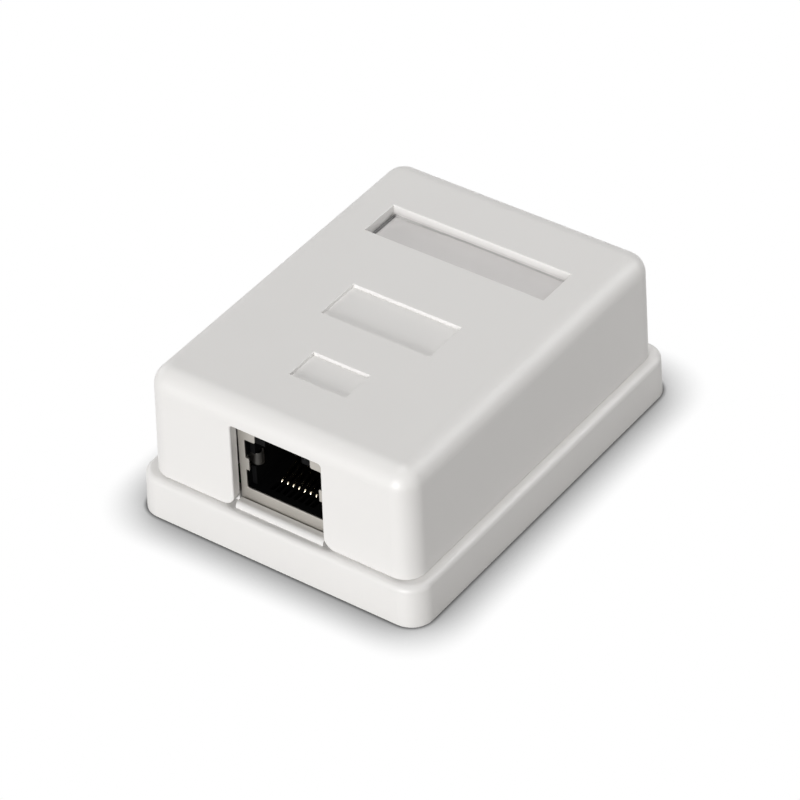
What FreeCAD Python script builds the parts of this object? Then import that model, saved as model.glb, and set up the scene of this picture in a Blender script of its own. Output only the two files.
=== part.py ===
import FreeCAD, Part
import os
import re
import Sketcher
from FreeCAD import Placement, Rotation, Vector

# A surface mount jack box: a tray that is screwed to a wall, a snap-on cover, and a shielded
# 8-way modular jack on a small circuit board. Millimetres, +Z up, the jack looks along -Y, and
# the origin is the middle of the base's underside.

# name, size, what it is
SIZES = [
    ("base_width", 50.0, "width of the base at its foot"),
    ("base_length", 66.0, "length of the base at its foot"),
    ("ledge_height", 6.95, "height of the ledge that the cover sits on"),
    ("base_draft", 1.6, "draft of the base's sides, degrees"),
    ("base_corner", 3.6, "radius of the base's upright corners"),
    ("base_edge", 1.0, "rounding along the ledge"),
    ("floor_thickness", 2.0, "thickness of the tray's floor"),
    ("side_ledge", 1.7, "width of the ledge beside the cover"),
    ("end_ledge", 1.4, "width of the ledge in front of and behind the cover"),
    ("headroom", 2.3, "space between the jack and the cover's top"),
    ("cover_draft", 1.3, "draft of the cover's sides, degrees"),
    ("cover_corner", 3.4, "radius of the cover's upright corners"),
    ("cover_edge", 3.2, "rounding round the cover's top"),
    ("cover_wall", 1.5, "thickness of the cover's sides"),
    ("cover_foot_edge", 0.3, "rounding along the cover's lower edge"),
    ("cover_top", 2.2, "thickness of the cover's top"),
    ("cover_inner_edge", 1.2, "rounding inside the cover's top"),
    ("lip_height", 1.8, "height of the lip that centres the cover"),
    ("lip_thickness", 1.5, "thickness of that lip"),
    ("lip_gap", 0.3, "clearance between the lip and the cover"),
    ("lip_corner", 1.6, "radius of the lip's corners"),
    ("tray_corner", 0.8, "radius inside the tray's corners"),
    ("bead_height", 0.2, "how far a snap bead stands out of the lip"),
    ("bead_length", 12.0, "length of a snap bead"),
    ("cutout_side_gap", 0.05, "clearance beside the jack in the cover's cut-out"),
    ("cutout_top_gap", 0.85, "clearance above the jack in that cut-out"),
    ("cutout_corner", 0.5, "radius in the cut-out's upper corners"),
    ("cutout_foot", 2.0, "radius at the cut-out's feet"),
    ("sill_overlap", 0.4, "height of the sill above the shield's lower edge"),
    ("sill_gap", 0.2, "clearance round the sill"),
    ("sill_thickness", 1.5, "thickness of the sill"),
    ("sill_edge", 0.8, "rounding along the sill's front"),
    ("cable_notch_width", 8.0, "width of the cable notch in the cover's rear"),
    ("cable_notch_height", 5.85, "height of that notch"),
    ("cable_hole_width", 11.0, "width of the cable hole in the floor"),
    ("cable_hole_length", 7.0, "length of that hole"),
    ("cable_hole_inset", 1.3, "distance of that hole from the tray's rear wall"),
    ("wall_hole_inset", 3.4, "distance of a wall screw's hole from the tray's side wall"),
    ("wall_hole_radius", 2.1, "radius of those holes"),
    ("label_width", 31.6, "width of the label pocket"),
    ("label_length", 7.3, "length of the label pocket"),
    ("label_setback", 15.2, "distance of that pocket's middle from the cover's rear"),
    ("label_depth", 2.0, "depth of that pocket"),
    ("label_floor", 0.9, "thickness of the cover under that pocket"),
    ("label_wall", 1.0, "width of the thicker part round that pocket"),
    ("card_thickness", 0.2, "thickness of the label card"),
    ("window_thickness", 0.4, "thickness of the clear window"),
    ("label_gap", 0.15, "clearance round the card and the window"),
    ("middle_recess_width", 19.0, "width of the middle recess"),
    ("middle_recess_length", 7.9, "length of the middle recess"),
    ("middle_recess_place", -2.85, "distance of that recess behind the middle"),
    ("small_recess_width", 9.8, "width of the small recess"),
    ("small_recess_length", 5.9, "length of the small recess"),
    ("small_recess_setback", 13.8, "distance of that recess's middle from the cover's front"),
    ("recess_depth", 0.6, "depth of the two plain recesses"),
    ("rim_edge", 0.12, "rounding along the rims of the pocket and the recesses"),
    ("board_length", 36.0, "length of the circuit board"),
    ("board_thickness", 1.6, "thickness of the circuit board"),
    ("board_gap", 0.3, "clearance in front of the board"),
    ("post_radius", 2.3, "radius of the posts under the board"),
    ("post_inset", 2.3, "distance of a post's middle from the board's side"),
    ("screw_post_place", 10.0, "distance of the screwed posts behind the board's front"),
    ("plain_post_place", 3.0, "distance of the plain posts from the board's rear"),
    ("screw_radius", 1.1, "radius of a small screw's shank"),
    ("screw_length", 4.6, "length of a small screw's shank"),
    ("screw_head_radius", 2.0, "radius of a small screw's head"),
    ("screw_head_height", 1.3, "height of a small screw's head"),
    ("screw_head_edge", 0.5, "rounding round a small screw's head"),
    ("screw_room", 0.85, "clearance between the jack and the head of a board screw"),
    ("screw_gap", 0.1, "clearance round a small screw's shank and below its tip"),
    ("recess_width", 0.6, "width of the cross in a small screw's head"),
    ("jack_width", 15.7, "width of the jack's shield"),
    ("jack_height", 13.4, "height of the jack's shield"),
    ("jack_depth", 18.7, "depth of the jack's shield"),
    ("jack_lift", 0.55, "height of the shield's lower edge above the ledge"),
    ("jack_standoff", 0.2, "height of the shield's lower edge above the board"),
    ("jack_gap", 0.5, "clearance between the cover's wall and the jack's face"),
    ("shield_thickness", 0.25, "thickness of the shield's sheet"),
    ("shield_gap", 0.05, "clearance between the shield and the housing"),
    ("port_frame", 1.1, "width of the metal beside the opening in the shield"),
    ("port_sill", 2.4, "height of the opening above the shield's lower edge"),
    ("port_height", 8.8, "height of the opening at its sides"),
    ("port_edge", 0.3, "rounding in the opening's corners"),
    ("keyway_width", 9.7, "width of the shield's opening for the latch"),
    ("keyway_top", 0.7, "height of the metal above that opening"),
    ("spring_width", 2.1, "width of a side spring"),
    ("spring_place", 6.8, "height of a side spring's middle above the shield's lower edge"),
    ("spring_tab", 0.6, "how far the tab in front of a side spring stands into the opening"),
    ("spring_bow", 1.3, "how far a side spring's crest stands out into the opening"),
    ("spring_bend", 0.9, "radius of a side spring's crest"),
    ("spring_setback", 2.4, "distance of a side spring's crest behind the jack's face"),
    ("spring_gap", 0.1, "clearance round a side spring in the housing"),
    ("leg_width", 1.4, "width of a shield leg that is soldered to the board"),
    ("leg_length", 2.6, "length of a shield leg below the shield"),
    ("leg_place", 9.4, "distance of the legs behind the jack's face"),
    ("leg_gap", 0.15, "clearance round a leg in the board"),
    ("plug_width", 11.9, "width of the plug space"),
    ("plug_height", 8.5, "height of the plug space"),
    ("plug_depth", 13.9, "depth of the plug space"),
    ("latch_width", 6.4, "width of the space for the plug's latch"),
    ("latch_wall", 0.3, "thickness of the housing above that space"),
    ("contact_pitch", 1.016, "spacing of the jack's contacts"),
    ("contact_count", 8, "number of the jack's contacts"),
    ("contact_radius", 0.23, "radius of a contact wire"),
    ("contact_bend", 0.5, "radius of a contact's front bend"),
    ("contact_heel", 0.4, "radius of a contact's rear bend"),
    ("contact_run", 1.6, "height of a contact's lower run above the board"),
    ("contact_front", 1.9, "distance of a contact's bend behind the jack's face"),
    ("contact_rise", 3.8, "rise of a contact from its bend to its tip"),
    ("contact_reach", 9.2, "length along the jack of a contact's upper run"),
    ("contact_pin_inset", 1.7, "distance of the rear row of pins from the jack's back"),
    ("contact_row_gap", 1.8, "spacing of the two rows of pins"),
    ("contact_tail", 1.0, "length of a pin below the board"),
    ("contact_slot", 0.7, "width of a contact's slot in the housing"),
    ("contact_hole_radius", 0.4, "radius of a pin's hole in the board"),
    ("block_width", 7.0, "width of a terminal block"),
    ("block_length", 15.6, "length of a terminal block"),
    ("block_height", 10.5, "height of a terminal block"),
    ("block_inset", 1.3, "distance of a block from the board's side"),
    ("block_gap", 0.3, "clearance between the jack and the blocks"),
    ("block_edge", 0.5, "rounding round a block's top"),
    ("terminal_pitch", 3.7, "spacing of a block's terminals"),
    ("terminal_count", 4, "number of a block's terminals"),
    ("terminal_slot", 1.2, "width of a block's slots for the wires"),
    ("terminal_slot_depth", 6.0, "depth of a block's slots for the wires"),
    ("blade_width", 4.6, "width of a terminal blade"),
    ("blade_height", 8.6, "height of a terminal blade above the board"),
    ("blade_thickness", 0.5, "thickness of a terminal blade"),
    ("blade_slit", 0.4, "width of the slit that grips the wire"),
    ("blade_slit_depth", 5.0, "depth of that slit"),
    ("blade_gap", 0.1, "clearance round a blade in its block"),
    ("blade_pin_width", 0.8, "width of a blade's solder pin"),
    ("blade_hole_radius", 0.6, "radius of a blade pin's hole in the board"),
    ("clamp_gap", 3.1, "distance of the cable clamp behind the board"),
    ("clamp_boss", 4.0, "height of the clamp's bosses above the floor"),
    ("clamp_spacing", 15.0, "spacing of the clamp's screws"),
    ("clamp_length", 5.0, "length of the clamp along the cable"),
    ("clamp_thickness", 0.8, "thickness of the clamp's strip"),
    ("clamp_arch", 3.1, "inner radius of the clamp's arch"),
]

NAMES = re.compile(r"\b(" + "|".join(name for name, size, note in SIZES) + r")\b")

# places that several pieces share
COVER_HALF_WIDTH = "(base_width / 2 - side_ledge)"
COVER_HALF_LENGTH = "(base_length / 2 - end_ledge)"
INNER_HALF_WIDTH = f"({COVER_HALF_WIDTH} - cover_wall)"
INNER_HALF_LENGTH = f"({COVER_HALF_LENGTH} - cover_wall)"
LIP_HALF_WIDTH = f"({INNER_HALF_WIDTH} - lip_gap)"
LIP_HALF_LENGTH = f"({INNER_HALF_LENGTH} - lip_gap)"
TRAY_HALF_WIDTH = f"({LIP_HALF_WIDTH} - lip_thickness)"
TRAY_HALF_LENGTH = f"({LIP_HALF_LENGTH} - lip_thickness)"
JACK_FACE = f"(jack_gap - {INNER_HALF_LENGTH})"
JACK_BACK = f"({JACK_FACE} + jack_depth)"
SHIELD_FOOT = "(ledge_height + jack_lift)"
SHIELD_TOP = f"({SHIELD_FOOT} + jack_height)"
PORT_FOOT = f"({SHIELD_FOOT} + port_sill)"
PORT_WIDTH = "(jack_width - 2 * port_frame)"
BOX_HEIGHT = f"({SHIELD_TOP} + headroom + cover_top)"
CUTOUT_WIDTH = "(jack_width + 2 * cutout_side_gap)"
CUTOUT_TOP = f"({SHIELD_TOP} + cutout_top_gap)"
SILL_HEIGHT = f"({SHIELD_FOOT} + sill_overlap)"
LABEL_PLACE = f"({COVER_HALF_LENGTH} - label_setback)"
SMALL_RECESS_PLACE = f"(small_recess_setback - {COVER_HALF_LENGTH})"
BOARD_TOP = f"({SHIELD_FOOT} - jack_standoff)"
BOARD_FOOT = f"({BOARD_TOP} - board_thickness)"
BOARD_FRONT = f"(board_gap - {TRAY_HALF_LENGTH})"
BOARD_BACK = f"({BOARD_FRONT} + board_length)"
POST_SPACING = "(jack_width + 2 * (screw_room + screw_head_radius))"
BOARD_HALF_WIDTH = f"({POST_SPACING} / 2 + post_inset)"
SCREW_POST_PLACE = f"({BOARD_FRONT} + screw_post_place)"
BLOCK_FRONT = f"({JACK_BACK} + block_gap)"
BLOCK_PLACE = f"({BOARD_HALF_WIDTH} - block_inset - block_width / 2)"
CLAMP_PLACE = f"({BOARD_BACK} + clamp_gap + clamp_length / 2)"
CLAMP_SEAT = "(floor_thickness + clamp_boss)"
CABLE_HOLE_PLACE = f"({TRAY_HALF_LENGTH} - cable_hole_inset - cable_hole_length / 2)"
TOUCH = 0.01  # how near two places are when they count as one
MARGIN = 1.0  # how far a cut runs past the face that it opens

doc = FreeCAD.newDocument("jack_box")
sheet = doc.addObject("Spreadsheet::Sheet", "Sizes")
pieces = []


def fill_sheet():
    for row, (name, size, note) in enumerate(SIZES, 1):
        sheet.set(f"A{row}", note)
        sheet.set(f"B{row}", str(size))
        sheet.setAlias(f"B{row}", name)
    doc.recompute()


def bind(thing, prop, formula):
    """Tie a property to a formula in the sheet's names."""
    thing.setExpression(prop, NAMES.sub(r"Sizes.\1", str(formula)))


def place(thing, x, y, z):
    for axis, formula in zip("xyz", (x, y, z)):
        bind(thing, f"Placement.Base.{axis}", formula)


def keep(thing, label):
    """Name a finished sub-part; its label names its file."""
    thing.Label = label
    pieces.append(thing)
    return thing


# ---- sketches and features of a body

def new_body(label):
    return keep(doc.addObject("PartDesign::Body", label), label)


def new_sketch(body, role, height=0):
    """A sketch on one of the body's own planes, moved along the plane's normal."""
    sketch = body.newObject("Sketcher::SketchObject", "sketch")
    plane = next(item for item in body.Origin.OriginFeatures if item.Role == role)
    sketch.AttachmentSupport = (plane, [""])
    sketch.MapMode = "FlatFace"
    bind(sketch, "AttachmentOffset.Base.z", height)
    return sketch


def pin_point(sketch, line, end, x, y):
    for kind, formula in (("DistanceX", x), ("DistanceY", y)):
        number = sketch.addConstraint(Sketcher.Constraint(kind, -1, 1, line, end, 1.0))
        bind(sketch, f"Constraints[{number}]", formula)


def draw_path(sketch, points, closed):
    """Straight lines through points given as pairs of formulas."""
    first = sketch.GeometryCount
    spread = [Vector(3 * i, (i * i) % 7, 0) for i in range(len(points) + 1)]
    count = len(points) if closed else len(points) - 1
    for i in range(count):
        sketch.addGeometry(Part.LineSegment(spread[i], spread[i + 1]))
    for i in range(count):
        pin_point(sketch, first + i, 1, *points[i])
        if i + 1 < count:
            sketch.addConstraint(Sketcher.Constraint("Coincident", first + i, 2, first + i + 1, 1))
    if closed:
        sketch.addConstraint(Sketcher.Constraint("Coincident", first + count - 1, 2, first, 1))
    else:
        pin_point(sketch, first + count - 1, 2, *points[-1])


def draw_rectangle(sketch, x0, y0, x1, y1):
    draw_path(sketch, [(x0, y0), (x1, y0), (x1, y1), (x0, y1)], closed=True)


def draw_centred(sketch, width, length, middle=0):
    """A rectangle centred on the first axis, and about a middle on the second."""
    draw_rectangle(sketch, f"-({width}) / 2", f"{middle} - ({length}) / 2",
                   f"({width}) / 2", f"{middle} + ({length}) / 2")


def draw_circle(sketch, x, y, radius):
    number = sketch.addGeometry(Part.Circle(Vector(5, 5, 0), Vector(0, 0, 1), 1.0))
    pin_point(sketch, number, 3, x, y)
    size = sketch.addConstraint(Sketcher.Constraint("Radius", number, 1.0))
    bind(sketch, f"Constraints[{size}]", radius)


def pad(body, sketch, length, taper=0, downward=False, both_ways=False):
    feature = body.newObject("PartDesign::Pad", "pad")
    feature.Profile = sketch
    feature.Reversed = downward
    feature.Midplane = both_ways
    bind(feature, "Length", length)
    bind(feature, "TaperAngle", taper)
    doc.recompute()
    return feature


def pocket(body, sketch, length, taper=0, upward=False):
    feature = body.newObject("PartDesign::Pocket", "pocket")
    feature.Profile = sketch
    feature.Reversed = upward
    bind(feature, "Length", length)
    bind(feature, "TaperAngle", taper)
    doc.recompute()
    return feature


def edges_of(feature, wanted):
    """Names of the edges whose bounding box passes a test."""
    edges = feature.Shape.Edges
    return [f"Edge{i}" for i, edge in enumerate(edges, 1) if wanted(edge.BoundBox)]


def fillet(body, base, radius, wanted):
    """Round the edges of a feature that pass a test."""
    names = edges_of(base, wanted)
    if not names:
        raise RuntimeError(f"{body.Label}: no edge for {radius}")
    feature = body.newObject("PartDesign::Fillet", "fillet")
    feature.Base = (base, names)
    bind(feature, "Radius", radius)
    doc.recompute()
    return feature


# ---- plain solids and booleans

def box(x0, y0, z0, x1, y1, z1):
    solid = doc.addObject("Part::Box", "box")
    bind(solid, "Length", f"({x1}) - ({x0})")
    bind(solid, "Width", f"({y1}) - ({y0})")
    bind(solid, "Height", f"({z1}) - ({z0})")
    place(solid, x0, y0, z0)
    return solid


def mid_box(width, y0, z0, y1, z1, middle=0):
    """A box centred on X about a middle."""
    return box(f"{middle} - ({width}) / 2", y0, z0, f"{middle} + ({width}) / 2", y1, z1)


def cylinder(x, y, z, radius, height):
    solid = doc.addObject("Part::Cylinder", "cylinder")
    bind(solid, "Radius", radius)
    bind(solid, "Height", height)
    place(solid, x, y, z)
    return solid


def fuse(solids):
    joined = doc.addObject("Part::MultiFuse", "fuse")
    joined.Shapes = solids
    joined.Refine = True
    return joined


def cut(solid, tools):
    result = doc.addObject("Part::Cut", "cut")
    result.Base = solid
    result.Tool = tools[0] if len(tools) == 1 else fuse(tools)
    return result


def common(first, second):
    result = doc.addObject("Part::Common", "common")
    result.Base = first
    result.Tool = second
    return result


def round_edges(solid, size, wanted):
    doc.recompute()
    result = doc.addObject("Part::Fillet", "round")
    result.Base = solid
    edges = solid.Shape.Edges
    radius = float(sheet.get(size))
    result.Edges = [(i, radius, radius) for i, edge in enumerate(edges, 1) if wanted(edge.BoundBox)]
    return result


# ---- tests that pick edges

def top_of(feature):
    return feature.Shape.BoundBox.ZMax


def near(a, b):
    return abs(a - b) < TOUCH


def level_at(height):
    return lambda b: near(b.ZMin, height) and near(b.ZMax, height)


def upright(min_length):
    return lambda b: b.ZLength > min_length and b.XLength < min_length and b.YLength < min_length


# ---- the sub-parts

def make_base():
    body = new_body("base")
    outline = new_sketch(body, "XY_Plane")
    draw_centred(outline, "base_width", "base_length")
    block = pad(body, outline, "ledge_height", "-base_draft")
    top = top_of(block)
    block = fillet(body, block, "base_corner", upright(top / 2))
    fillet(body, block, "base_edge", level_at(top))
    add_lip(body)
    hollow_tray(body)
    add_sill(body)
    add_posts(body)
    cut_base_holes(body)


def add_lip(body):
    outline = new_sketch(body, "XY_Plane", "ledge_height")
    draw_centred(outline, f"2 * {LIP_HALF_WIDTH}", f"2 * {LIP_HALF_LENGTH}")
    ring = pad(body, outline, "lip_height")
    lip = ring.AddSubShape.BoundBox.ZLength
    fillet(body, ring, "lip_corner", lambda b: near(b.ZLength, lip))
    beads = new_sketch(body, "XZ_Plane")
    for side in ("-", ""):
        bottom = "ledge_height + lip_height / 4"
        crest = "ledge_height + lip_height / 2"
        top = "ledge_height + 3 * lip_height / 4"
        root = f"{side}({LIP_HALF_WIDTH} - lip_thickness / 2)"
        tip = f"{side}({LIP_HALF_WIDTH} + bead_height)"
        draw_path(beads, [(root, bottom), (tip, crest), (root, top)], closed=True)
    pad(body, beads, "bead_length", both_ways=True)


def hollow_tray(body):
    top = "ledge_height + lip_height"
    outline = new_sketch(body, "XY_Plane", top)
    draw_centred(outline, f"2 * {TRAY_HALF_WIDTH}", f"2 * {TRAY_HALF_LENGTH}")
    tray = pocket(body, outline, f"{top} - floor_thickness")
    depth = tray.AddSubShape.BoundBox.ZLength
    fillet(body, tray, "tray_corner", lambda b: near(b.ZLength, depth))
    gaps = new_sketch(body, "XY_Plane", top)
    draw_rectangle(gaps, "-(jack_width / 2 + lip_gap)", f"-{LIP_HALF_LENGTH} - {MARGIN}",
                   "jack_width / 2 + lip_gap", f"{MARGIN} - {TRAY_HALF_LENGTH}")
    draw_rectangle(gaps, "-cable_notch_width / 2", f"{TRAY_HALF_LENGTH} - {MARGIN}",
                   "cable_notch_width / 2", f"{LIP_HALF_LENGTH} + {MARGIN}")
    pocket(body, gaps, "lip_height")


def add_sill(body):
    outline = new_sketch(body, "XY_Plane", SILL_HEIGHT)
    draw_rectangle(outline, f"sill_gap - {CUTOUT_WIDTH} / 2", f"sill_gap - {COVER_HALF_LENGTH}",
                   f"{CUTOUT_WIDTH} / 2 - sill_gap",
                   f"sill_gap + sill_thickness - {COVER_HALF_LENGTH}")
    block = pad(body, outline, f"{SILL_HEIGHT} - ledge_height", downward=True)
    bounds = outline.Shape.BoundBox
    fillet(body, block, "sill_edge",
           lambda b: level_at(bounds.ZMax)(b) and near(b.YMax, bounds.YMin))


def add_posts(body):
    posts = new_sketch(body, "XY_Plane", "floor_thickness")
    bosses = new_sketch(body, "XY_Plane", "floor_thickness")
    for side in ("-", ""):
        for row in (SCREW_POST_PLACE, f"{BOARD_BACK} - plain_post_place"):
            draw_circle(posts, f"{side}{POST_SPACING} / 2", row, "post_radius")
        draw_circle(bosses, f"{side}clamp_spacing / 2", CLAMP_PLACE, "post_radius")
    pad(body, posts, f"{BOARD_FOOT} - floor_thickness")
    pad(body, bosses, "clamp_boss")


def cut_pilot_holes(body, spacing, y, top, seat):
    """A pair of holes down from a level, as deep as screws seated at another level reach."""
    holes = new_sketch(body, "XY_Plane", f"{top} + {MARGIN}")
    for side in ("-", ""):
        draw_circle(holes, f"{side}{spacing} / 2", y, "screw_radius + screw_gap")
    pocket(body, holes, f"{top} + {MARGIN} - ({seat}) + screw_length + screw_gap")


def cut_base_holes(body):
    cut_pilot_holes(body, POST_SPACING, SCREW_POST_PLACE, BOARD_FOOT, BOARD_TOP)
    cut_pilot_holes(body, "clamp_spacing", CLAMP_PLACE, CLAMP_SEAT,
                    f"{CLAMP_SEAT} + clamp_thickness")
    floor = new_sketch(body, "XY_Plane", "floor_thickness")
    for side in ("-", ""):
        draw_circle(floor, f"{side}({TRAY_HALF_WIDTH} - wall_hole_inset)", "0", "wall_hole_radius")
    draw_centred(floor, "cable_hole_width", "cable_hole_length", CABLE_HOLE_PLACE)
    pocket(body, floor, "floor_thickness")


def make_cover():
    body = new_body("cover")
    outline = new_sketch(body, "XY_Plane", "ledge_height")
    draw_centred(outline, f"2 * {COVER_HALF_WIDTH}", f"2 * {COVER_HALF_LENGTH}")
    block = pad(body, outline, f"{BOX_HEIGHT} - ledge_height", "-cover_draft")
    bounds = block.Shape.BoundBox
    block = fillet(body, block, "cover_corner", upright(bounds.ZLength / 2))
    fillet(body, block, "cover_edge", level_at(bounds.ZMax))
    hollow_cover(body)
    thicken_under_label(body)
    cut_jack_opening(body)
    cut_cable_notch(body)
    round_cover_foot(body, outline)
    cut_recess(body, "label_width", "label_length", LABEL_PLACE, "label_depth")
    cut_recess(body, "middle_recess_width", "middle_recess_length", "middle_recess_place",
               "recess_depth")
    cut_recess(body, "small_recess_width", "small_recess_length", SMALL_RECESS_PLACE,
               "recess_depth")


def hollow_cover(body):
    outline = new_sketch(body, "XY_Plane", "ledge_height")
    draw_centred(outline, f"2 * {INNER_HALF_WIDTH}", f"2 * {INNER_HALF_LENGTH}")
    depth = f"{BOX_HEIGHT} - ledge_height - cover_top"
    hollow = pocket(body, outline, depth, "-cover_draft", upward=True)
    inside = hollow.AddSubShape.BoundBox.ZMax

    def inner_corner(b):
        return near(b.ZMax, inside) and b.ZLength > b.XLength + b.YLength

    hollow = fillet(body, hollow, "cover_corner - cover_wall", inner_corner)
    fillet(body, hollow, "cover_inner_edge", level_at(inside))


def thicken_under_label(body):
    """A low block inside, so that the label pocket keeps a floor."""
    outline = new_sketch(body, "XY_Plane", f"{BOX_HEIGHT} - label_depth - label_floor")
    draw_centred(outline, "label_width + 2 * label_wall", "label_length + 2 * label_wall",
                 LABEL_PLACE)
    pad(body, outline, "label_depth + label_floor - cover_top / 2")


def cut_jack_opening(body):
    outline = new_sketch(body, "XZ_Plane", f"{COVER_HALF_LENGTH} + {MARGIN}")
    draw_rectangle(outline, f"-{CUTOUT_WIDTH} / 2", f"ledge_height - {MARGIN}",
                   f"{CUTOUT_WIDTH} / 2", CUTOUT_TOP)
    opening = pocket(body, outline, f"cover_wall + cover_inner_edge + 2 * {MARGIN}")

    bounds = outline.Shape.BoundBox
    ledge = float(sheet.get("ledge_height"))

    def side_edge(b, height):
        side = near(abs(b.XMin), bounds.XMax) and near(b.XLength, 0)
        return side and level_at(height)(b) and b.YMax < 0

    opening = fillet(body, opening, "cutout_corner", lambda b: side_edge(b, bounds.ZMax))
    fillet(body, opening, "cutout_foot", lambda b: side_edge(b, ledge))


def round_cover_foot(body, outline):
    """Rounds the outer lower edge, between the jack cut-out and the cable notch."""
    bounds = outline.Shape.BoundBox

    def outer(b):
        side = near(max(abs(b.XMin), abs(b.XMax)), bounds.XMax)
        end = near(max(abs(b.YMin), abs(b.YMax)), bounds.YMax)
        return level_at(bounds.ZMin)(b) and (side or (end and not near(b.XLength, 0)))

    fillet(body, body.Tip, "cover_foot_edge", outer)


def cut_cable_notch(body):
    outline = new_sketch(body, "XZ_Plane", f"-({COVER_HALF_LENGTH} + {MARGIN})")
    draw_rectangle(outline, "-cable_notch_width / 2", f"ledge_height - {MARGIN}",
                   "cable_notch_width / 2", "ledge_height + cable_notch_height")
    pocket(body, outline, f"cover_wall + 2 * {MARGIN}", upward=True)


def cut_recess(body, width, length, middle, depth):
    """A shallow pocket in the cover's top, with a slightly rounded rim."""
    outline = new_sketch(body, "XY_Plane", BOX_HEIGHT)
    draw_centred(outline, width, length, middle)
    recess = pocket(body, outline, depth)
    bounds = outline.Shape.BoundBox

    def rim(b):
        inside = b.YMin > bounds.YMin - TOUCH and b.YMax < bounds.YMax + TOUCH
        return level_at(bounds.ZMax)(b) and inside and abs(b.XMin) < bounds.XMax + TOUCH

    fillet(body, recess, "rim_edge", rim)


def make_label():
    floor = f"{BOX_HEIGHT} - label_depth"
    y0 = f"{LABEL_PLACE} - label_length / 2 + label_gap"
    y1 = f"{LABEL_PLACE} + label_length / 2 - label_gap"
    width = "label_width - 2 * label_gap"
    card_top = f"{floor} + card_thickness"
    keep(mid_box(width, y0, floor, y1, card_top), "label_card")
    keep(mid_box(width, y0, card_top, y1, f"{card_top} + window_thickness"), "label_window")


def make_board():
    body = new_body("circuit_board")
    outline = new_sketch(body, "XY_Plane", BOARD_FOOT)
    draw_rectangle(outline, f"-{BOARD_HALF_WIDTH}", BOARD_FRONT, BOARD_HALF_WIDTH, BOARD_BACK)
    pad(body, outline, "board_thickness")
    holes = new_sketch(body, "XY_Plane", BOARD_TOP)
    for side in ("-", ""):
        draw_circle(holes, f"{side}{POST_SPACING} / 2", SCREW_POST_PLACE,
                    "screw_radius + screw_gap")
        leg = "jack_width / 2 - shield_thickness / 2"
        draw_rectangle(holes,
                       f"{side}({leg}) - shield_thickness / 2 - leg_gap",
                       f"{JACK_FACE} + leg_place - leg_width / 2 - leg_gap",
                       f"{side}({leg}) + shield_thickness / 2 + leg_gap",
                       f"{JACK_FACE} + leg_place + leg_width / 2 + leg_gap")
    for x, y in contact_pins():
        draw_circle(holes, x, y, "contact_hole_radius")
    for x, y in blade_places():
        draw_circle(holes, x, y, "blade_hole_radius")
    pocket(body, holes, "board_thickness")


def contact_pins():
    """Where each contact's pin goes through the board: two staggered rows."""
    pins = []
    for i in range(int(sheet.get("contact_count"))):
        x = f"({i} - (contact_count - 1) / 2) * contact_pitch"
        y = f"{JACK_BACK} - contact_pin_inset - {(i + 1) % 2} * contact_row_gap"
        pins.append((x, y))
    return pins


def blade_places():
    """The middle of each terminal blade, left block first."""
    places = []
    for side in ("-", ""):
        for i in range(int(sheet.get("terminal_count"))):
            x = f"{side}{BLOCK_PLACE}"
            middle = f"{BLOCK_FRONT} + block_length / 2"
            y = f"{middle} + ({i} - (terminal_count - 1) / 2) * terminal_pitch"
            places.append((x, y))
    return places


def make_shield():
    """A folded sheet: face, top, sides and back, with the port, two side springs and two legs."""
    outside = mid_box("jack_width", JACK_FACE, SHIELD_FOOT, JACK_BACK, SHIELD_TOP)
    inside = mid_box("jack_width - 2 * shield_thickness", f"{JACK_FACE} + shield_thickness",
                     f"{SHIELD_FOOT} - {MARGIN}", f"{JACK_BACK} - shield_thickness",
                     f"{SHIELD_TOP} - shield_thickness")
    face_front = f"{JACK_FACE} - {MARGIN}"
    face_back = f"{JACK_FACE} + shield_thickness + {MARGIN}"
    port = mid_box(PORT_WIDTH, face_front, PORT_FOOT, face_back, f"{PORT_FOOT} + port_height")
    keyway = mid_box("keyway_width", face_front, PORT_FOOT, face_back,
                     f"{SHIELD_TOP} - keyway_top")

    def corner(b):
        return near(b.XLength, 0) and near(b.ZLength, 0)

    opening = round_edges(fuse([port, keyway]), "port_edge", corner)
    shell = cut(cut(outside, [inside]), [opening])
    extras = []
    for side in ("-", ""):
        extras += [spring_tab(side), side_spring(side), shield_leg(side)]
    keep(fuse([shell] + extras), "jack_shield")


def ordered(side, near_end, far_end):
    """Two distances from the middle on one side, as lower and upper X."""
    if side:
        return f"-({far_end})", f"-({near_end})"
    return near_end, far_end


def spring_tab(side):
    """A tab of the face that covers the side spring behind it."""
    x0, x1 = ordered(side, f"{PORT_WIDTH} / 2 - spring_tab", f"{PORT_WIDTH} / 2 + shield_thickness")
    middle = f"({SHIELD_FOOT} + spring_place)"
    return box(x0, JACK_FACE, f"{middle} - spring_width / 2",
               x1, f"{JACK_FACE} + shield_thickness", f"{middle} + spring_width / 2")


def side_spring(side):
    """A U-shaped strip on the side wall that presses on a plug's shield."""
    middle = f"({JACK_FACE} + spring_setback)"
    bottom = f"({SHIELD_FOOT} + spring_place - spring_width / 2)"
    centre = f"({PORT_WIDTH} / 2 - spring_bow + spring_bend)"
    x0, x1 = ordered(side, centre, "jack_width / 2 - shield_thickness / 2")
    shapes = []
    for radius in ("spring_bend", "(spring_bend - shield_thickness)"):
        bend = cylinder(f"{side}{centre}", middle, bottom, radius, "spring_width")
        run = box(x0, f"{middle} - {radius}", bottom,
                  x1, f"{middle} + {radius}", f"{bottom} + spring_width")
        shapes.append(fuse([bend, run]))
    return cut(shapes[0], [shapes[1]])


def shield_leg(side):
    x0, x1 = ordered(side, "jack_width / 2 - shield_thickness", "jack_width / 2")
    middle = f"{JACK_FACE} + leg_place"
    return box(x0, f"{middle} - leg_width / 2", f"{SHIELD_FOOT} - leg_length",
               x1, f"{middle} + leg_width / 2", f"{SHIELD_FOOT} + {MARGIN}")


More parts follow.
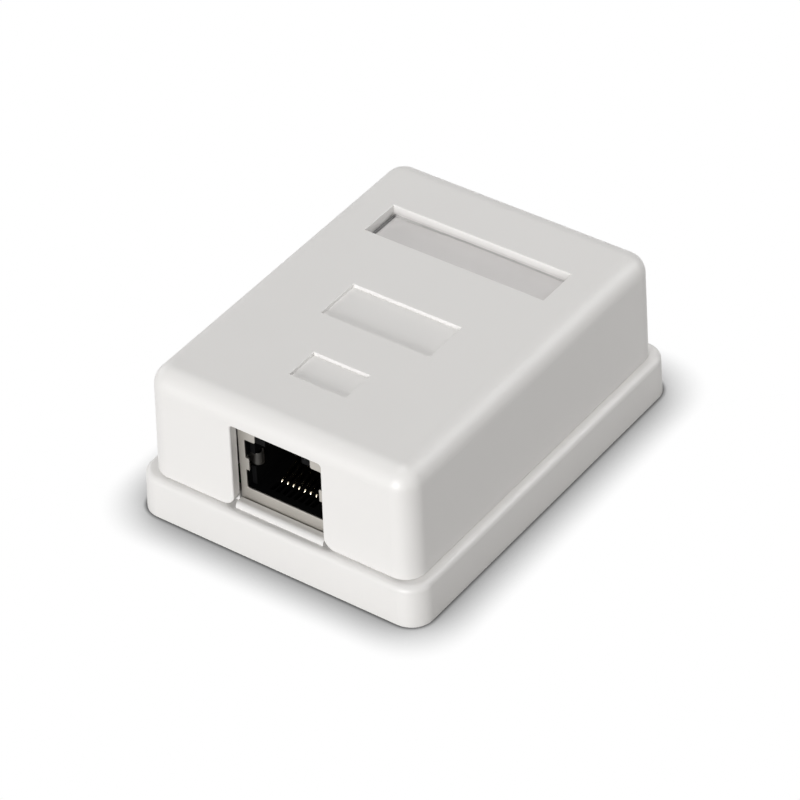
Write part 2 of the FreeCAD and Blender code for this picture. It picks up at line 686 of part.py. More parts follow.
def make_housing():
    """The black block in the shield, with the plug space, the latch space and the wire slots."""
    skin = "(shield_thickness + shield_gap)"
    front = f"{JACK_FACE} + {skin}"
    top = f"{SHIELD_TOP} - {skin}"
    block = mid_box(f"jack_width - 2 * {skin}", front, BOARD_TOP, f"{JACK_BACK} - {skin}", top)
    start = f"{JACK_FACE} - {MARGIN}"
    depth = f"{JACK_FACE} + plug_depth"
    ceiling = f"{PORT_FOOT} + plug_height"
    mouth = f"{JACK_FACE} + {skin} + {MARGIN}"
    tools = [
        mid_box("plug_width", start, PORT_FOOT, depth, ceiling),
        mid_box(PORT_WIDTH, start, PORT_FOOT, mouth, f"{PORT_FOOT} + port_height"),
        mid_box("latch_width", start, ceiling, depth, f"{top} - latch_wall"),
    ]
    spring = f"({SHIELD_FOOT} + spring_place)"
    tools.append(mid_box("jack_width", start, f"{spring} - spring_width / 2 - spring_gap",
                         f"{JACK_FACE} + spring_setback + spring_bend + spring_gap",
                         f"{spring} + spring_width / 2 + spring_gap"))
    for x, y in contact_pins():
        tools.append(mid_box("contact_slot", f"{JACK_FACE} + contact_front - contact_bend",
                             f"{BOARD_TOP} + contact_run - contact_slot / 2",
                             f"{y} + contact_slot / 2", PORT_FOOT, middle=x))
        tools.append(mid_box("contact_slot", f"{y} - contact_slot / 2", f"{BOARD_TOP} - {MARGIN}",
                             f"{y} + contact_slot / 2", PORT_FOOT, middle=x))
    keep(cut(block, tools), "jack_housing")


def make_contacts():
    """Eight bent wires: pin, lower run, front bend and the run that springs against the plug."""
    for i, (x, y) in enumerate(contact_pins(), 1):
        body = new_body(f"jack_contact_{i}")
        front = f"{JACK_FACE} + contact_front"
        run = f"{BOARD_TOP} + contact_run"
        tail = f"{BOARD_FOOT} - contact_tail"
        corners = [(y, tail), (y, run), (front, run),
                   (f"{front} + contact_reach", f"{run} + contact_rise")]
        path = new_sketch(body, "YZ_Plane", x)
        draw_path(path, corners, closed=False)
        doc.recompute()
        round_corner(path, 0, 1, "contact_heel")
        round_corner(path, 1, 2, "contact_bend")
        section = new_sketch(body, "XY_Plane", tail)
        draw_circle(section, x, y, "contact_radius")
        wire = body.newObject("PartDesign::AdditivePipe", "wire")
        wire.Profile = section
        wire.Spine = path
        doc.recompute()


def round_corner(sketch, first, second, radius):
    """An arc between two lines of a path that meet end to start."""
    lines = sketch.Geometry
    corner = lines[first].EndPoint
    back = lines[first].StartPoint
    ahead = lines[second].EndPoint
    start = corner + (back - corner) * 0.1
    end = corner + (ahead - corner) * 0.1
    arc = sketch.GeometryCount
    sketch.fillet(first, second, start, end, 0.3, True, True)
    number = sketch.addConstraint(Sketcher.Constraint("Radius", arc, 0.3))
    bind(sketch, f"Constraints[{number}]", radius)
    doc.recompute()


def make_terminal_blocks():
    """Two moulded blocks, each with four wire slots across and four pockets for the blades."""
    blades = blade_places()
    per_block = len(blades) // 2
    top = f"{BOARD_TOP} + block_height"
    for n, (name, side) in enumerate((("left", "-"), ("right", ""))):
        middle = f"{side}{BLOCK_PLACE}"
        block = mid_box("block_width", BLOCK_FRONT, BOARD_TOP, f"{BLOCK_FRONT} + block_length", top,
                        middle=middle)
        tools = []
        for x, y in blades[n * per_block:(n + 1) * per_block]:
            tools.append(mid_box(f"block_width + 2 * {MARGIN}", f"{y} - terminal_slot / 2",
                                 f"{top} - terminal_slot_depth", f"{y} + terminal_slot / 2",
                                 f"{top} + {MARGIN}", middle=x))
            tools.append(blade_pocket(x, y))
        doc.recompute()
        crown = round_edges(block, "block_edge", level_at(top_of(block)))
        keep(cut(crown, tools), f"terminal_block_{name}")


def blade_pocket(x, y):
    """The space round a blade, open at the board."""
    return mid_box("blade_width + 2 * blade_gap",
                   f"{y} - blade_thickness / 2 - blade_gap", f"{BOARD_TOP} - {MARGIN}",
                   f"{y} + blade_thickness / 2 + blade_gap", f"{BOARD_TOP} + blade_height + blade_gap",
                   middle=x)


def make_blades():
    """Forked plates that grip a wire across their slit, each with a solder pin."""
    for i, (x, y) in enumerate(blade_places(), 1):
        y0 = f"{y} - blade_thickness / 2"
        y1 = f"{y} + blade_thickness / 2"
        top = f"{BOARD_TOP} + blade_height"
        plate = mid_box("blade_width", y0, f"{BOARD_TOP} + blade_gap", y1, top, middle=x)
        slit = mid_box("blade_slit", f"{y0} - {MARGIN}", f"{top} - blade_slit_depth",
                       f"{y1} + {MARGIN}", f"{top} + {MARGIN}", middle=x)
        pin = mid_box("blade_pin_width", y0, f"{BOARD_FOOT} - contact_tail", y1,
                      f"{BOARD_TOP} + {MARGIN}", middle=x)
        keep(fuse([cut(plate, [slit]), pin]), f"terminal_blade_{i}")


def make_screw(label, x, y, seat):
    """A pan head screw with a cross recess, standing in its hole with its head on its seat."""
    shank = cylinder(x, y, f"{seat} - screw_length", "screw_radius", "screw_length")
    head = cylinder(x, y, seat, "screw_head_radius", "screw_head_height")
    top = f"{seat} + screw_head_height"
    doc.recompute()
    crown = round_edges(head, "screw_head_edge", level_at(top_of(head)))
    arm = "screw_head_radius"
    cross = [
        mid_box(arm, f"{y} - recess_width / 2", f"{top} - screw_head_height / 2",
                f"{y} + recess_width / 2", f"{top} + {MARGIN}", middle=x),
        mid_box("recess_width", f"{y} - {arm} / 2", f"{top} - screw_head_height / 2",
                f"{y} + {arm} / 2", f"{top} + {MARGIN}", middle=x),
    ]
    keep(cut(fuse([shank, crown]), cross), label)


def make_screws():
    for name, side in (("left", "-"), ("right", "")):
        make_screw(f"board_screw_{name}", f"{side}{POST_SPACING} / 2", SCREW_POST_PLACE, BOARD_TOP)
        make_screw(f"clamp_screw_{name}", f"{side}clamp_spacing / 2", CLAMP_PLACE,
                   f"{CLAMP_SEAT} + clamp_thickness")


def make_clamp():
    """A metal strip with flat feet on the two bosses and an arch over the cable."""
    y0 = f"{CLAMP_PLACE} - clamp_length / 2"
    y1 = f"{CLAMP_PLACE} + clamp_length / 2"
    width = "clamp_spacing + 2 * post_radius"
    strip = mid_box(width, y0, CLAMP_SEAT, y1, f"{CLAMP_SEAT} + clamp_thickness")
    outer = lying_cylinder("clamp_arch + clamp_thickness", y0, y1)
    inner = lying_cylinder("clamp_arch", f"{y0} - {MARGIN}", f"{y1} + {MARGIN}")
    above = mid_box(width, y0, CLAMP_SEAT, y1,
                    f"{CLAMP_SEAT} + clamp_arch + clamp_thickness + {MARGIN}")
    holes = [cylinder(f"{side}clamp_spacing / 2", CLAMP_PLACE, f"{CLAMP_SEAT} - {MARGIN}",
                      "screw_radius + screw_gap", f"clamp_thickness + 2 * {MARGIN}")
             for side in ("-", "")]
    keep(cut(fuse([strip, common(outer, above)]), [inner] + holes), "cable_clamp")


def lying_cylinder(radius, y0, y1):
    """A cylinder along Y, centred over the cable at the bosses' height."""
    solid = doc.addObject("Part::Cylinder", "cylinder")
    solid.Placement = Placement(Vector(0, 0, 0), Rotation(Vector(1, 0, 0), -90))
    bind(solid, "Radius", radius)
    bind(solid, "Height", f"({y1}) - ({y0})")
    place(solid, "0", y0, CLAMP_SEAT)
    return solid


def check_and_export():
    doc.recompute()
    for item in doc.Objects:
        if {"Invalid", "Error"} & set(item.State):
            raise RuntimeError(f"{item.Name} ({item.Label}) failed")
    os.makedirs("parts", exist_ok=True)
    for piece in pieces:
        shape = piece.Shape
        if shape.isNull() or not shape.isValid():
            raise RuntimeError(f"{piece.Label} has no valid shape")
        shape.exportStep(f"parts/{piece.Label}.step")
        print(f"{piece.Label}: {len(shape.Solids)} solid, {shape.Volume:.2f} mm3")


fill_sheet()
make_base()
make_cover()
make_label()
make_board()
make_shield()
make_housing()
make_contacts()
make_terminal_blocks()
make_blades()
make_screws()
make_clamp()
check_and_export()
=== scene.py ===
import math

import bpy
from mathutils import Matrix, Vector


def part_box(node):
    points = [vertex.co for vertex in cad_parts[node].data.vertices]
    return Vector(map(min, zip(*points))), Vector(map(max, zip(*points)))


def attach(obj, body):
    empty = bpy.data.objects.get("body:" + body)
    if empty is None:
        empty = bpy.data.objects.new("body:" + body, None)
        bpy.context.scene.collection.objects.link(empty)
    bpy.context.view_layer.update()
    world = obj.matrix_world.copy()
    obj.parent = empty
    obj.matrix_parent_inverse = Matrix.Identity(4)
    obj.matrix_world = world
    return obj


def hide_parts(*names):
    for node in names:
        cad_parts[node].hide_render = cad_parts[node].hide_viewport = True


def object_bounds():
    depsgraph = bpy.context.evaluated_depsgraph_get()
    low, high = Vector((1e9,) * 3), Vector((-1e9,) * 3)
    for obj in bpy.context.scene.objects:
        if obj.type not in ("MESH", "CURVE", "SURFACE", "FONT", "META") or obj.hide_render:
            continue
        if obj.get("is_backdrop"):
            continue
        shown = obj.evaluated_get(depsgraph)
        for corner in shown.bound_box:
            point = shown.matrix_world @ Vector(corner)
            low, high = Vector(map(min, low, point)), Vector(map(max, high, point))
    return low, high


bl_info = {
    "name": "Surface Mount Jack Box",
    "version": (1, 0, 0),
    "blender": (4, 5, 0),
    "location": "3D View > Sidebar > Jack Box",
    "description": "Finishes and label of a small wall box with one data jack",
    "category": "Object",
}

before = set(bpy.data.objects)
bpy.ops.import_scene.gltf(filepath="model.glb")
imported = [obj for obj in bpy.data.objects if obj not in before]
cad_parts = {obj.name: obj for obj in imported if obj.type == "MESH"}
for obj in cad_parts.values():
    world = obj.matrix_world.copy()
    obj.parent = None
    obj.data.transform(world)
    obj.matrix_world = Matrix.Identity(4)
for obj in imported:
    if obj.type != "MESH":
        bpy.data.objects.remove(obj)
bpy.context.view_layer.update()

# Places nearer than this, in metres, count as one.
TOUCH = 1e-6


# ---- sizes and colours that a user would change

def length(name, description, default):
    return bpy.props.FloatProperty(name=name, description=description, default=default,
                                   subtype="DISTANCE", unit="LENGTH", precision=5)


def angle(name, description, degrees):
    return bpy.props.FloatProperty(name=name, description=description,
                                   default=math.radians(degrees), subtype="ANGLE", unit="ROTATION")


def colour(name, description, default):
    return bpy.props.FloatVectorProperty(name=name, description=description, default=default,
                                         subtype="COLOR", size=3, min=0, max=1)


def factor(name, description, default):
    return bpy.props.FloatProperty(name=name, description=description, default=default,
                                   subtype="FACTOR", min=0, max=1)


def watts(name, description, default):
    return bpy.props.FloatProperty(name=name, description=description, default=default,
                                   unit="POWER", min=0)


class ShellSettings(bpy.types.PropertyGroup):
    white: colour("White", "Moulded plastic of the base and the cover", (0.84, 0.829, 0.815))
    sheen: factor("Roughness", "How satin the moulded plastic is", 0.46)
    grain: length("Grain", "Size of the moulded skin's fine texture", 0.0002)


class LabelSettings(bpy.types.PropertyGroup):
    card: colour("Card", "Blank card in the label pocket", (0.87, 0.85, 0.84))
    film: colour("Film", "Clear window over the card", (0.93, 0.93, 0.94))
    bow: length("Bow", "How far the card and the window are bowed", 0.0001)
    paper: length("Paper", "Thickness of the card", 0.00014)
    film_gauge: length("Film thickness", "Thickness of the clear window", 0.00028)
    film_corner: length("Film corner", "Radius of the clear window's corners", 0.00032)
    stray: length("Stray corner", "How far the card's corner stands off the wall", 0.0008)
    stray_share: factor("Stray length", "Share of the card that the stray corner bends", 0.35)


class JackSettings(bpy.types.PropertyGroup):
    metal: colour("Shield", "Plated metal of the shield", (0.50, 0.475, 0.435))
    body: colour("Housing", "Black plastic inside the shield", (0.003, 0.003, 0.0032))
    gold: colour("Contacts", "Gold plating of the contacts", (0.80, 0.71, 0.54))


class InsideSettings(bpy.types.PropertyGroup):
    board: colour("Board", "Lacquer of the circuit board", (0.02, 0.11, 0.045))
    terminal: colour("Terminals", "Plastic of the terminal blocks", (0.62, 0.61, 0.57))
    zinc: colour("Zinc", "Plating of the screws and the clamp", (0.56, 0.57, 0.58))


class StageSettings(bpy.types.PropertyGroup):
    azimuth: angle("Azimuth", "Camera's turn from the front", 36.991)
    elevation: angle("Elevation", "Camera's height as an angle", 38.985)
    roll: angle("Roll", "Camera's tilt sideways", -2.646)
    distance: length("Distance", "From the camera to the point it looks at", 0.5831)
    aim: bpy.props.FloatVectorProperty(name="Aim", description="Point the camera looks at",
                                       default=(0.000404, -0.002132, 0.010281), subtype="XYZ",
                                       unit="LENGTH", precision=5)
    lens: bpy.props.FloatProperty(name="Lens", description="Focal length on a 36 mm sensor",
                                  default=180.14, subtype="DISTANCE_CAMERA")
    front: bpy.props.FloatProperty(name="Front lamp", description="Strength of the low front lamp",
                                   default=2.68, min=0)
    back: watts("Back lamp", "Lamp behind and to the right", 3.25)
    top: watts("Top lamp", "Lamp above", 2.6)
    side: watts("Side lamp", "Lamp on the left", 2.4)
    fill: colour("Fill", "Light from all round", (0.07, 0.066, 0.06))
    floor: colour("Floor", "Pale floor as it lights the box from below", (0.46, 0.45, 0.44))
    shadow: length("Shadow", "Reach of the soft shadow round the foot", 0.007)


# ---- materials

class Reading:
    """A number output of a node. Arithmetic on it adds Math nodes."""

    def __init__(self, nodes, socket):
        self.nodes = nodes
        self.socket = socket

    def __add__(self, other):
        return self.nodes.math("ADD", self, other)

    def __sub__(self, other):
        return self.nodes.math("SUBTRACT", self, other)

    def __rsub__(self, other):
        return self.nodes.math("SUBTRACT", other, self)

    def __mul__(self, other):
        return self.nodes.math("MULTIPLY", self, other)

    def __pow__(self, other):
        return self.nodes.math("POWER", self, other)

    def __abs__(self):
        return self.nodes.math("ABSOLUTE", self)

    def __gt__(self, other):
        return self.nodes.math("GREATER_THAN", self, other)

    def __lt__(self, other):
        return self.nodes.math("LESS_THAN", self, other)

    def at_least(self, other):
        return self.nodes.math("MAXIMUM", self, other)

    def sine(self):
        return self.nodes.math("SINE", self)

    __radd__ = __add__
    __rmul__ = __mul__


class Nodes:
    """A node tree, and the way nodes are added to it."""

    def __init__(self, tree):
        self.tree = tree

    def add(self, kind, settings=None, values=None):
        node = self.tree.nodes.new(kind)
        for name, value in (settings or {}).items():
            setattr(node, name, value)
        for name, value in (values or {}).items():
            self.feed(node.inputs[name], value)
        return node

    def feed(self, socket, value):
        if isinstance(value, Reading):
            value = value.socket
        if isinstance(value, bpy.types.NodeSocket):
            self.tree.links.new(value, socket)
        elif socket.type == "RGBA" and len(value) == 3:
            socket.default_value = (*value, 1)
        else:
            socket.default_value = value

    def math(self, operation, *values):
        node = self.add("ShaderNodeMath", {"operation": operation}, dict(enumerate(values)))
        return Reading(self, node.outputs[0])

    def blend(self, mask, first, second):
        """A colour that goes from the first to the second as the mask goes from 0 to 1."""
        node = self.add("ShaderNodeMix", {"data_type": "RGBA"})
        for socket, value in ((0, mask), (6, first), (7, second)):
            self.feed(node.inputs[socket], value)
        return node.outputs[2]

    def seen(self):
        """1 where a surface is seen, directly or in a gloss; 0 where it only gives light."""
        ray = self.add("ShaderNodeLightPath").outputs
        seen = Reading(self, ray["Is Camera Ray"])
        for name in ("Is Glossy Ray", "Is Transmission Ray"):
            seen = seen.at_least(ray[name])
        return seen


class Finish(Nodes):
    """A material with one shader. Its patterns lie on the piece's own coordinates."""

    def __init__(self, name, base, roughness, **constants):
        self.material = bpy.data.materials.new(name)
        self.material.use_nodes = True
        super().__init__(self.material.node_tree)
        self.shader = self.tree.nodes["Principled BSDF"]
        self.set("Base Color", base)
        self.set("Roughness", roughness)
        for socket, value in constants.items():
            self.set(socket.replace("_", " "), value)
        self.place = self.add("ShaderNodeTexCoord").outputs["Object"]

    def set(self, name, value):
        self.feed(self.shader.inputs[name], value)

    def axes(self):
        """Readings of the place along X, Y and Z, in metres."""
        split = self.add("ShaderNodeSeparateXYZ", values={0: self.place}).outputs
        return tuple(Reading(self, split[axis]) for axis in "XYZ")

    def noise(self, size, detail=2, stretch=(1, 1, 1)):
        """Cloudy pattern with patches of about the given size in metres."""
        at = self.add("ShaderNodeMapping", values={"Vector": self.place, "Scale": stretch})
        node = self.add("ShaderNodeTexNoise", values={
            "Vector": at.outputs[0], "Scale": 1 / size, "Detail": detail})
        return Reading(self, node.outputs["Fac"])

    def bump(self, height, depth, edge=0):
        """Relief of the given depth; edge is the radius that cut edges seem to have."""
        values = {"Height": height, "Distance": depth}
        if edge:
            soft = self.add("ShaderNodeBevel", {"samples": 8}, {"Radius": edge})
            values["Normal"] = soft.outputs[0]
        self.set("Normal", self.add("ShaderNodeBump", values=values).outputs[0])


def shade(tint, amount):
    return tuple(min(1, c * amount) for c in tint)


def moulded_plastic(name, tint, roughness, grain, gloss=0.8):
    finish = Finish(name, tint, roughness, Specular_IOR_Level=gloss)
    cloud = finish.noise(0.012)
    finish.set("Base Color", finish.blend(cloud, shade(tint, 0.985), shade(tint, 1.01)))
    skin = finish.noise(grain, detail=3)
    finish.set("Roughness", roughness + (skin - 0.5) * 0.12)
    finish.bump(skin, 0.000012)
    return finish.material


def start_plating(name, tint, roughness, metallic=1.0, stretch=(1, 1, 1), edge=0):
    """Metal with a fine grain. Gives the finish and its cloudy colour, to build on."""
    finish = Finish(name, tint, roughness, Metallic=metallic)
    cloud = finish.noise(0.004)
    plating = finish.blend(cloud, shade(tint, 0.93), shade(tint, 1.04))
    finish.set("Base Color", plating)
    grain = finish.noise(0.0006, detail=4, stretch=stretch)
    finish.set("Roughness", roughness + (grain - 0.5) * 0.2)
    finish.bump(grain, 0.00001, edge)
    return finish, plating


def plated_metal(name, tint, roughness):
    finish, _ = start_plating(name, tint, roughness)
    return finish.material


def shield_metal(tint, low, high):
    """Tinned sheet, darker towards its left end; the springs in the mouth get painted shade,
    lighter on their crest.
    """
    finish, plating = start_plating("shield_metal", tint, 0.42, metallic=0.6,
                                    stretch=(0.15, 1, 1), edge=0.00018)
    x, y, z = finish.axes()
    middle = (low.x + high.x) / 2
    inner_side = (high.x - low.x) / 2 - 0.0003
    front_plate = low.y + 0.0004
    crest_place = low.y + 0.0024
    springs_end = low.y + 0.006
    springs_top = low.z + 0.0125
    darken_until = low.x + 0.0045
    darkening_per_metre = 80

    # the front plate grows darker towards its left end
    darkened_left_end = ((darken_until - x) * darkening_per_metre).at_least(0) * (y < front_plate)
    sheet = finish.blend(darkened_left_end, plating, shade(tint, 0.3))
    # painted shade on the springs in the mouth, less deep on the crest where light falls on it
    painted_spring_shade = finish.blend(y > crest_place, shade(tint, 0.12), shade(tint, 0.34))
    mouth = (abs(x - middle) < inner_side) * (y > front_plate) * (y < springs_end)
    finish.set("Base Color", finish.blend(mouth * (z < springs_top), sheet, painted_spring_shade))
    return finish.material


def contact_metal(tint, low):
    """Gold with painted shade below the bend of the nose, so that its glint stays on the bend and
    above.
    """
    finish, plating = start_plating("gold", tint, 0.12)
    _, _, z = finish.axes()
    # painted shade: the gold is darkened below the bend so that it gives no glint there
    shaded_below_bend = z < low.z + 0.0049
    finish.set("Base Color", finish.blend(shaded_below_bend, plating, shade(tint, 0.1)))
    return finish.material


def blank_card(name, tint):
    finish = Finish(name, tint, 0.75)
    fibre = finish.noise(0.0008, detail=4, stretch=(1, 2.5, 1))
    finish.set("Base Color", finish.blend(fibre, shade(tint, 0.97), shade(tint, 1.03)))
    finish.bump(fibre, 0.00001)
    return finish.material


def clear_film(name, tint, low, high):
    """Clear plastic with painted shade on its cut edges, deepest at the left end beside the wall.
    """
    finish = Finish(name, tint, 0.12, Coat_Weight=0.3)
    finish.set("Roughness", 0.1 + finish.noise(0.006) * 0.08)
    x, y, _ = finish.axes()
    # painted shade: a deep band at the left end stands in for the dark gap by the wall, a faint
    # one at the far edge
    left_end = x < low.x + 0.00035
    far_edge = (y > high.y - 0.00008) * 0.2
    painted_edge_shade = left_end.at_least(far_edge)
    finish.set("Alpha", 0.1 + painted_edge_shade * 0.65)
    finish.set("Base Color", finish.blend(painted_edge_shade, tint, shade(tint, 0.2)))
    return finish.material


def lacquered_board(name, tint):
    """Green lacquer with wavy copper tracks along the board's middle part."""
    finish = Finish(name, tint, 0.32)
    x, y, _ = finish.axes()
    across = x + finish.noise(0.006) * 0.0012
    stripes = (across * 2400).sine() > 0.45
    middle_part = abs(y + 0.010) < 0.017
    track = stripes * middle_part
    finish.set("Base Color", finish.blend(track, tint, shade(tint, 1.7)))
    finish.bump(track, 0.00003)
    return finish.material


def dress(nodes, material):
    for name in nodes:
        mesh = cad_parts[name].data
        mesh.materials.clear()
        mesh.materials.append(material)


# ---- modelling by hand

def clear_selection():
    if bpy.context.mode != "OBJECT":
        bpy.ops.object.mode_set(mode="OBJECT")
    bpy.ops.object.select_all(action="DESELECT")


def take_points(piece, wanted):
    """Selects the corners that pass a test, in edit mode."""
    bpy.ops.object.mode_set(mode="OBJECT")
    mesh = piece.data
    for part in (*mesh.polygons, *mesh.edges):
        part.select = False
    for point in mesh.vertices:
        point.select = wanted(point.co)
    bpy.ops.object.mode_set(mode="EDIT")
    bpy.ops.mesh.select_mode(type="VERT")


def finish_piece(piece, body, material):
    bpy.ops.object.mode_set(mode="OBJECT")
    bpy.ops.object.transform_apply(location=True, rotation=True, scale=True)
    piece.data.materials.clear()
    piece.data.materials.append(material)
    bpy.ops.object.shade_smooth_by_angle(angle=math.radians(40))
    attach(piece, body)


def flat_sheet(name, node, cuts):
    """A sheet of the node's length and width at its foot, cut into strips along its length."""
    low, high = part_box(node)
    middle = (low + high) / 2
    clear_selection()
    bpy.ops.mesh.primitive_plane_add(size=1)
    piece = bpy.context.object
    piece.name = name
    piece.data.name = name
    bpy.ops.object.mode_set(mode="EDIT")
    bpy.ops.mesh.select_all(action="SELECT")
    bpy.ops.mesh.subdivide(number_cuts=cuts)
    bpy.ops.transform.resize(value=(high.x - low.x, high.y - low.y, 1))
    bpy.ops.transform.translate(value=(middle.x, middle.y, low.z))
    bpy.ops.object.mode_set(mode="OBJECT")
    return piece, low, high


def cut_places(piece):
    """The places along X at which a sheet is cut."""
    return sorted({round(point.co.x, 7) for point in piece.data.vertices})


def bow_strips(piece, low, high, bow):
    """Lifts the strips one after another, so that the sheet bows along its length."""
    for x in cut_places(piece):
        along = (x - low.x) / (high.x - low.x)
        rise = bow * math.sin(math.pi * along) ** 2
        take_points(piece, lambda co: abs(co.x - x) < TOUCH)
        bpy.ops.transform.translate(value=(0, 0, rise))


def thicken(piece, thickness):
    bpy.ops.object.mode_set(mode="OBJECT")
    solid = piece.modifiers.new("thickness", "SOLIDIFY")
    solid.thickness = thickness
    solid.offset = 1
    bpy.ops.object.modifier_apply(modifier=solid.name)


def round_corners(piece, low, high, radius):
    """Rounds the four upright edges at a sheet's corners."""
    def at_corner(co):
        return (min(co.x - low.x, high.x - co.x) < 10 * TOUCH
                and min(co.y - low.y, high.y - co.y) < 10 * TOUCH)

    bpy.ops.object.mode_set(mode="OBJECT")
    points = piece.data.vertices
    for edge in piece.data.edges:
        one, two = (points[i].co for i in edge.vertices)
        edge.select = (one - two).xy.length < TOUCH and at_corner(one)
    bpy.ops.object.mode_set(mode="EDIT")
    bpy.ops.mesh.select_mode(type="EDGE")
    bpy.ops.mesh.bevel(offset=radius, segments=4)
    bpy.ops.object.mode_set(mode="OBJECT")


# ---- operators

class JACKBOX_OT_shells(bpy.types.Operator):
    """Give the base and the cover their satin white plastic"""
    bl_idname = "jackbox.shells"
    bl_label = "Base and Cover"

    def execute(self, context):
        look = context.scene.jackbox_shell
        plastic = moulded_plastic("white_plastic", look.white, look.sheen, look.grain)
        dress(("base", "cover"), plastic)
        return {"FINISHED"}


class JACKBOX_OT_label(bpy.types.Operator):
    """Make the bowed blank card and the clear film over it"""
    bl_idname = "jackbox.label"
    bl_label = "Label"

    def execute(self, context):
        look = context.scene.jackbox_label
        self.make_card(look)
        self.make_film(look)
        return {"FINISHED"}

    def make_card(self, look):
        """The card stands off the far wall and the left end at one corner."""
        card, low, high = flat_sheet("card_sheet", "label_card", 23)
        bow_strips(card, low, high, look.bow)
        reach = (high.x - low.x) * look.stray_share
        for x in cut_places(card):
            nearness = max(0, 1 - (x - low.x) / reach)
            stray = look.stray * nearness ** 1.5
            take_points(card, lambda co: abs(co.x - x) < TOUCH and co.y > high.y - TOUCH)
            bpy.ops.transform.translate(value=(stray / 3, -stray, 0))
        # the left end keeps a card's thickness away from its wall
        take_points(card, lambda co: co.x < low.x + look.stray)
        bpy.ops.transform.translate(value=(look.paper, 0, 0))
        thicken(card, look.paper)
        finish_piece(card, "cover", blank_card("card", look.card))
        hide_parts("label_card")

    def make_film(self, look):
        film, low, high = flat_sheet("film_window", "label_window", 15)
        bow_strips(film, low, high, look.bow)
        thicken(film, look.film_gauge)
        round_corners(film, low, high, look.film_corner)
        plastic = clear_film("clear_plastic", look.film, low, high)
        finish_piece(film, "label_window", plastic)
        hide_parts("label_window")


class JACKBOX_OT_jack(bpy.types.Operator):
    """Finish the shield, the housing and the eight contacts"""
    bl_idname = "jackbox.jack"
    bl_label = "Jack"

    def execute(self, context):
        look = context.scene.jackbox_jack
        dress(("jack_shield",), shield_metal(look.metal, *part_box("jack_shield")))
        black = moulded_plastic("black_plastic", look.body, 0.6, 0.0003, gloss=0.06)
        dress(("jack_housing",), black)
        contacts = [f"jack_contact_{i}" for i in range(1, 9)]
        dress(contacts, contact_metal(look.gold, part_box(contacts[0])[0]))
        return {"FINISHED"}


class JACKBOX_OT_inside(bpy.types.Operator):
    """Finish the board, the terminals, the cable clamp and the screws"""
    bl_idname = "jackbox.inside"
    bl_label = "Board and Terminals"

    def execute(self, context):
        look = context.scene.jackbox_inside
        dress(("circuit_board",), lacquered_board("board", look.board))
        blocks = moulded_plastic("terminal_plastic", look.terminal, 0.5, 0.0003)
        dress(("terminal_block_left", "terminal_block_right"), blocks)
        blades = [f"terminal_blade_{i}" for i in range(1, 9)]
        dress(blades, plated_metal("blade_metal", shade(look.zinc, 1.15), 0.3))
        dress(("cable_clamp",), plated_metal("clamp_metal", look.zinc, 0.38))
        screws = [f"{kind}_screw_{side}" for kind in ("board", "clamp")
                  for side in ("left", "right")]
        dress(screws, plated_metal("screw_metal", shade(look.zinc, 0.9), 0.3))
        return {"FINISHED"}


def camera_axes(look):
    """The camera's right, its up and the direction behind it."""
    turn, rise, roll = look.azimuth, look.elevation, look.roll
    back = Vector((math.sin(turn) * math.cos(rise), -math.cos(turn) * math.cos(rise),
                   math.sin(rise)))
    right = Vector((math.cos(turn), math.sin(turn), 0))
    up = back.cross(right)
    rolled_right = math.cos(roll) * right + math.sin(roll) * up
    rolled_up = math.cos(roll) * up - math.sin(roll) * right
    return rolled_right, rolled_up, back


def add_camera(look):
    axes = camera_axes(look)
    spot = Vector(look.aim) + axes[2] * look.distance
    clear_selection()
    bpy.ops.object.camera_add()
    camera = bpy.context.object
    camera.name = "camera"
    camera.matrix_world = Matrix.Translation(spot) @ Matrix(axes).transposed().to_4x4()
    camera.data.lens = look.lens
    camera.data.sensor_width = 36
    camera.data.clip_start = 0.01
    camera.data.clip_end = 20
    bpy.context.scene.camera = camera


def add_area_lamp(name, direction, size, power):
    """A square lamp one metre away, turned to the box."""
    toward = Vector(direction).normalized()
    bpy.ops.object.light_add(type="AREA", location=toward,
                             rotation=toward.to_track_quat("Z", "Y").to_euler())
    lamp = bpy.context.object
    lamp.name = name
    lamp.data.size = size
    lamp.data.energy = power
    lamp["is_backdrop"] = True


def add_front_lamp(strength):
    """A wide lamp low in front, a little to the right."""
    tilt_from_above = math.radians(79)
    turn_to_right = math.radians(7)
    bpy.ops.object.light_add(type="SUN", rotation=(tilt_from_above, 0, turn_to_right))
    front = bpy.context.object
    front.name = "front_lamp"
    front.data.energy = strength
    front.data.angle = math.radians(26)
    front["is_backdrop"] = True


def add_lamps(look):
    clear_selection()
    add_front_lamp(look.front)
    add_area_lamp("back_lamp", (0.5, 0.63, 0.6), 0.55, look.back)
    add_area_lamp("top_lamp", (-0.07, 0.09, 1.0), 0.25, look.top)
    add_area_lamp("side_lamp", (-0.95, 0.24, 0.2), 0.6, look.side)


def light_room(look):
    """Plain light all round; a white room where it is seen, directly or in a gloss."""
    world = bpy.data.worlds.new("studio")
    bpy.context.scene.world = world
    world.use_nodes = True
    nodes = Nodes(world.node_tree)
    tint = nodes.blend(nodes.seen(), look.fill, (1, 1, 1))
    nodes.feed(world.node_tree.nodes["Background"].inputs["Color"], tint)


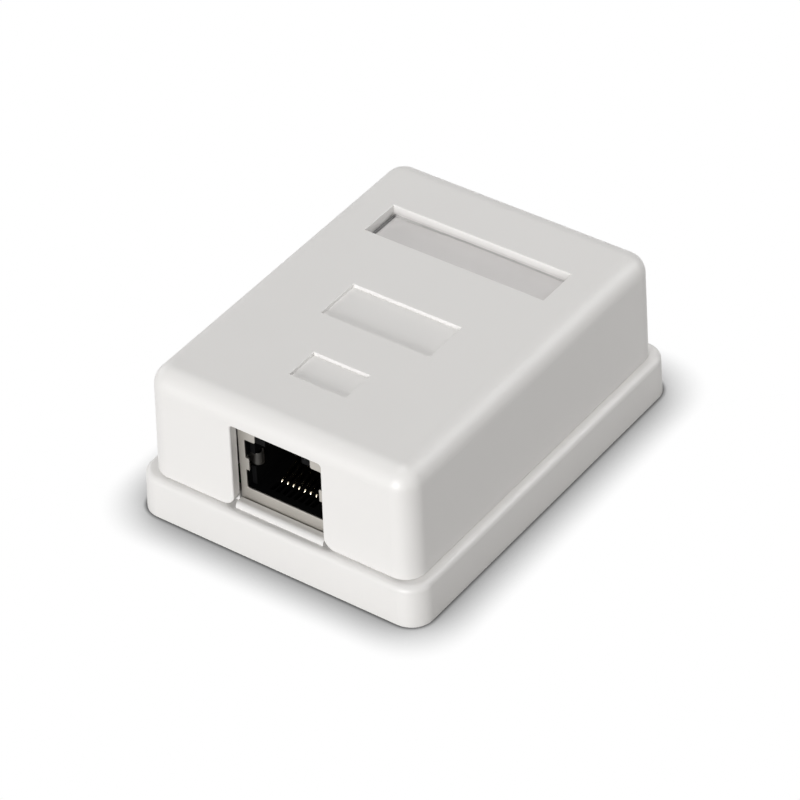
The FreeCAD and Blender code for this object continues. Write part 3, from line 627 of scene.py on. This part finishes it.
def floor_finish(look):
    """White where it is seen, with a soft shadow round the foot; pale where it only lights."""
    black, white = (0, 0, 0), (1, 1, 1)
    finish = Finish("floor", look.floor, 0.9, Specular_IOR_Level=0.0, Emission_Strength=1.0)
    seen = finish.seen()
    finish.set("Base Color", finish.blend(seen, look.floor, black))
    light = seen
    # a wide soft shadow, and a narrow one where the foot meets the floor
    for reach, depth in ((look.shadow, 1.7), (look.shadow / 10, 2.0)):
        node = finish.add("ShaderNodeAmbientOcclusion", {"samples": 16}, {"Distance": reach})
        openness = Reading(finish, node.outputs["AO"])
        light = light * openness ** depth
    finish.set("Emission Color", finish.blend(light, black, white))
    return finish.material


def add_floor(look):
    clear_selection()
    bpy.ops.mesh.primitive_plane_add(size=4, location=(0, 0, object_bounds()[0][2]))
    floor = bpy.context.object
    floor.name = "floor"
    floor.data.materials.append(floor_finish(look))
    floor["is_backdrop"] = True


class JACKBOX_OT_stage(bpy.types.Operator):
    """Set up the floor, the lamps and the camera"""
    bl_idname = "jackbox.stage"
    bl_label = "Stage"

    def execute(self, context):
        look = context.scene.jackbox_stage
        context.scene.view_settings.view_transform = "Standard"
        light_room(look)
        add_lamps(look)
        add_floor(look)
        add_camera(look)
        return {"FINISHED"}


OPERATORS = (JACKBOX_OT_shells, JACKBOX_OT_label, JACKBOX_OT_jack, JACKBOX_OT_inside,
             JACKBOX_OT_stage)


class JACKBOX_PT_panel(bpy.types.Panel):
    """Lists the steps in the 3D view's sidebar"""
    bl_label = "Jack Box"
    bl_idname = "JACKBOX_PT_panel"
    bl_space_type = "VIEW_3D"
    bl_region_type = "UI"
    bl_category = "Jack Box"

    def draw(self, context):
        for operator in OPERATORS:
            self.layout.operator(operator.bl_idname)


SETTINGS = {
    "jackbox_shell": ShellSettings,
    "jackbox_label": LabelSettings,
    "jackbox_jack": JackSettings,
    "jackbox_inside": InsideSettings,
    "jackbox_stage": StageSettings,
}


def register():
    for name, group in SETTINGS.items():
        bpy.utils.register_class(group)
        setattr(bpy.types.Scene, name, bpy.props.PointerProperty(type=group))
    for operator in OPERATORS:
        bpy.utils.register_class(operator)
    bpy.utils.register_class(JACKBOX_PT_panel)


def unregister():
    bpy.utils.unregister_class(JACKBOX_PT_panel)
    for operator in reversed(OPERATORS):
        bpy.utils.unregister_class(operator)
    for name, group in reversed(SETTINGS.items()):
        delattr(bpy.types.Scene, name)
        bpy.utils.unregister_class(group)


def main():
    register()
    bpy.ops.jackbox.shells()
    bpy.ops.jackbox.label()
    bpy.ops.jackbox.jack()
    bpy.ops.jackbox.inside()
    bpy.ops.jackbox.stage()


if __name__ == "__main__":
    main()
